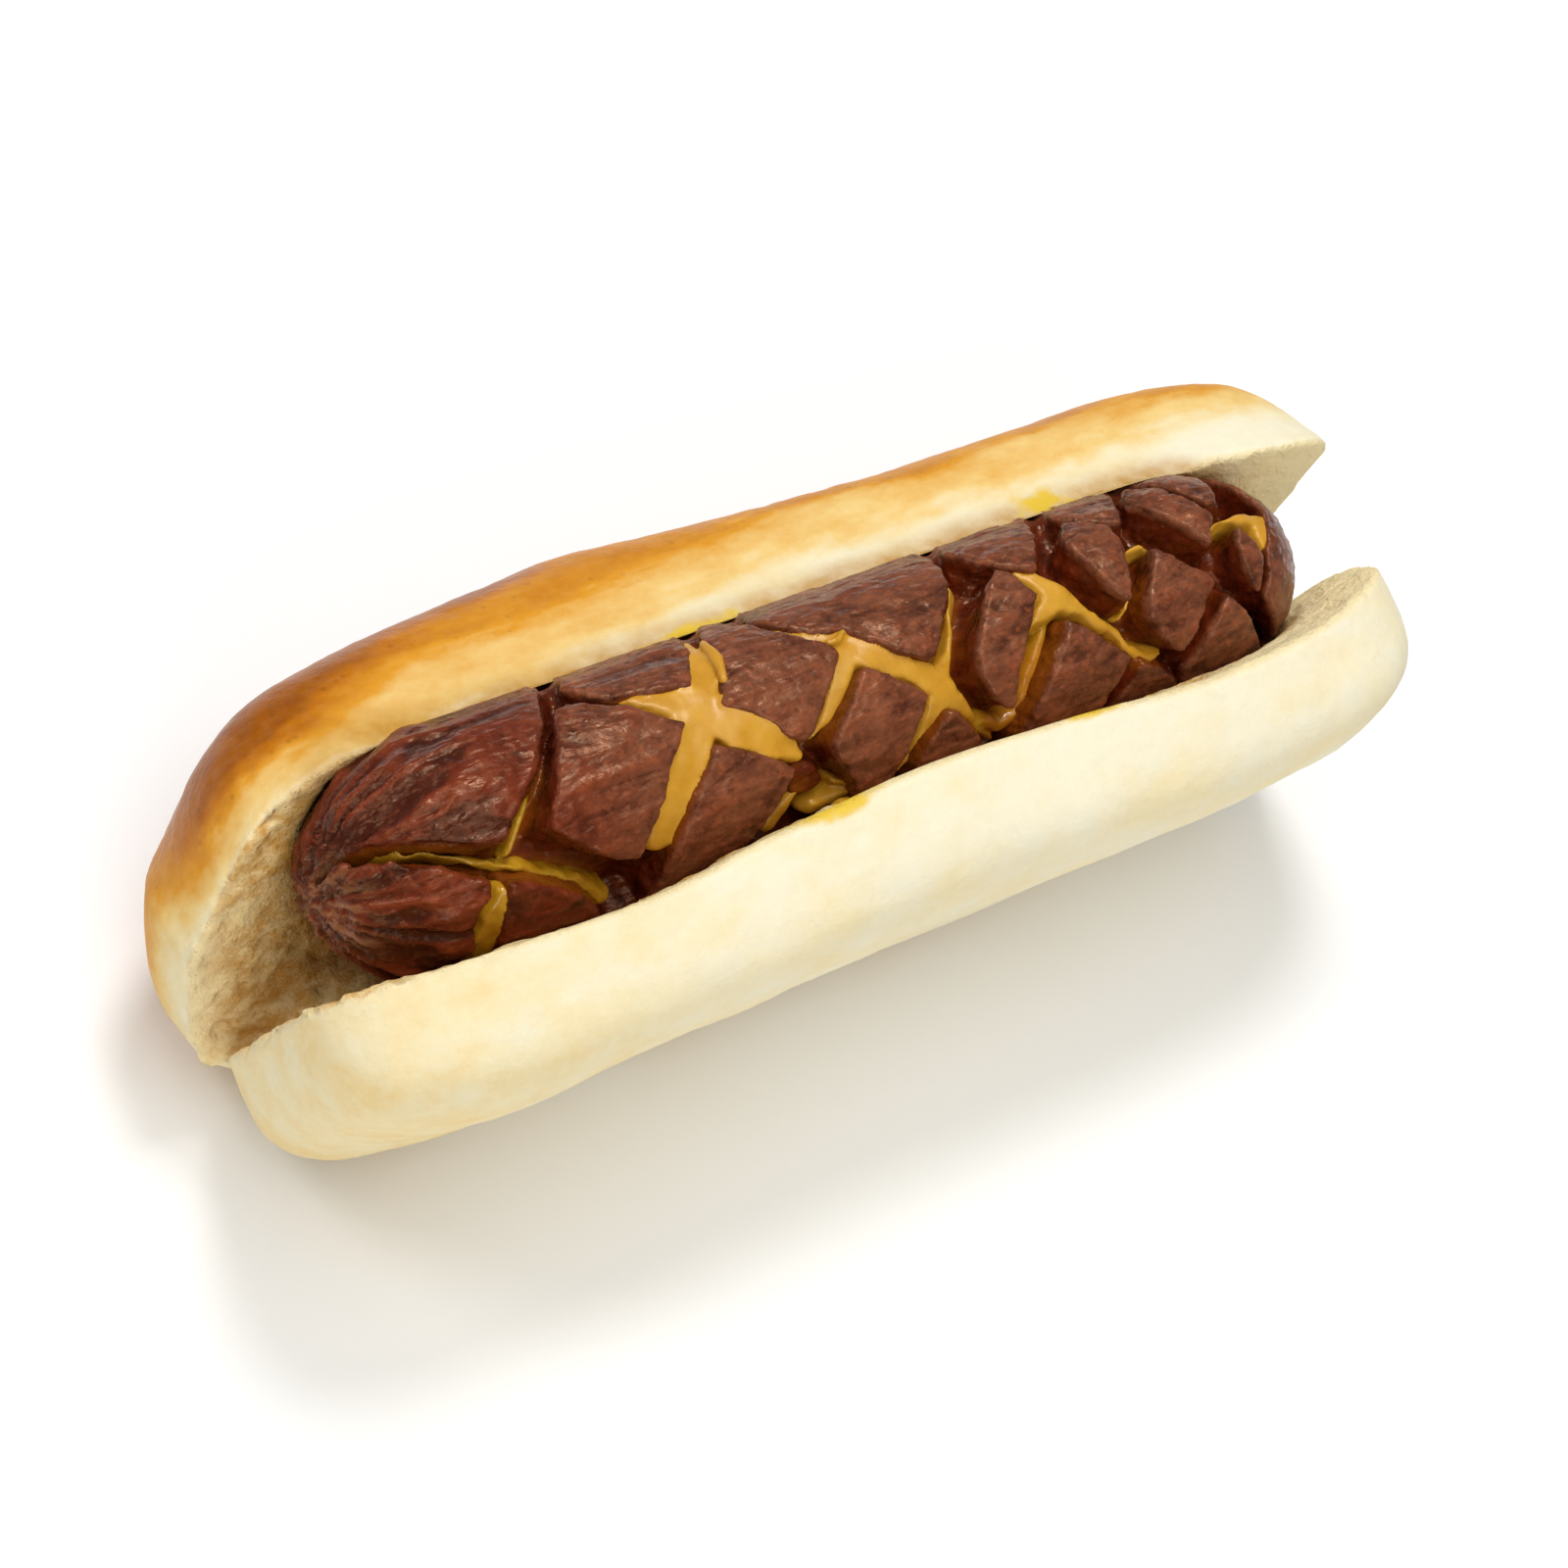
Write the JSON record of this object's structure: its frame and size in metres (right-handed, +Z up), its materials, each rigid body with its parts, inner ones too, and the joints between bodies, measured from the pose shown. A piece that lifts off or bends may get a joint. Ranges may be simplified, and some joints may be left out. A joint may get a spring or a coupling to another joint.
{
  "type": "hot dog",
  "caption": "Hot dog: a diamond-scored grilled frankfurter with mustard sauce in the scores, in a soft hinged roll opened in a V.",
  "frame": {"origin": "bottom centre of the whole hot dog, on the plane it rests on", "axes": "+X along the roll, +Z up out of the opened roll, -Y towards the pale tray half and +Y towards the domed half"},
  "size_m": [0.1672, 0.065, 0.053],
  "materials": {
    "bread": "matte",
    "sausage": "satin",
    "sauce": "gloss"
  },
  "bodies": {
    "root": {"bun": "bread", "sausage": "sausage", "sauce": "sauce"}
  },
  "joints": []
}
